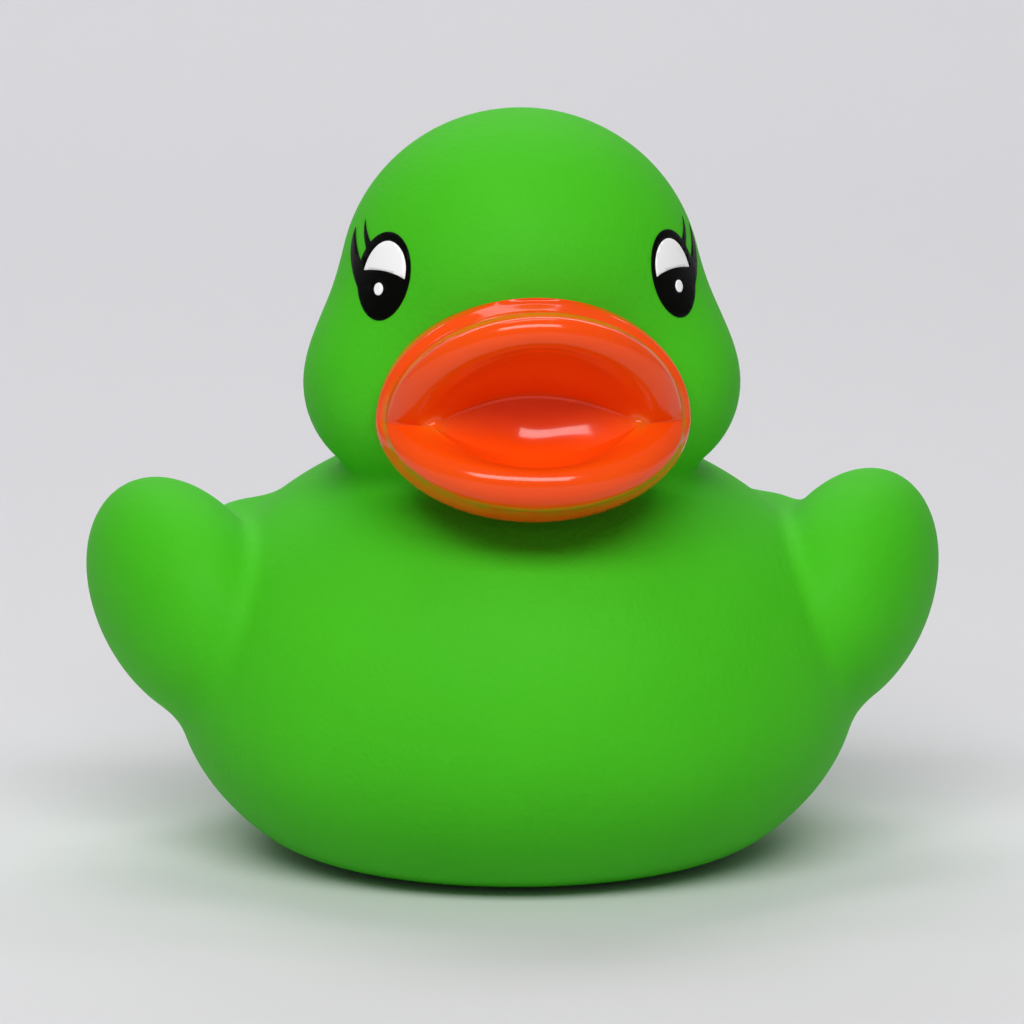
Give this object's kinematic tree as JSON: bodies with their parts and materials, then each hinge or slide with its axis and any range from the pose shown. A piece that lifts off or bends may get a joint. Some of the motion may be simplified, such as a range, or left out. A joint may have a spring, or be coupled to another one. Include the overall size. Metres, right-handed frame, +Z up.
{
  "type": "rubber duck",
  "caption": "Moulded vinyl bath duck with a painted open bill, printed eyes with lashes, stubby raised wings and a flat base with a squeaker.",
  "frame": {"origin": "on the ground, under the middle of the duck's width and length", "axes": "+Z up, the duck faces -Y, +X is its left side, and X = 0 is its plane of symmetry"},
  "size_m": [0.0858, 0.0726, 0.075],
  "materials": {
    "green_vinyl": "soft matte moulded vinyl with a very fine leathery grain",
    "orange_paint": "glossy sprayed enamel, thin enough at the lip edges for the green to show through",
    "black_print": "pad printed ink, satin",
    "white_print": "pad printed ink, satin",
    "insert_plastic": "natural moulded polyethylene"
  },
  "bodies": {
    "root": {"duck_body": "green_vinyl", "bill_paint": "orange_paint", "eye_black_left": "black_print", "eye_white_left": "white_print", "eye_glint_left": "white_print", "eye_black_right": "black_print", "eye_white_right": "white_print", "eye_glint_right": "white_print", "squeaker_body": "insert_plastic", "squeaker_reed": "insert_plastic"}
  },
  "joints": []
}
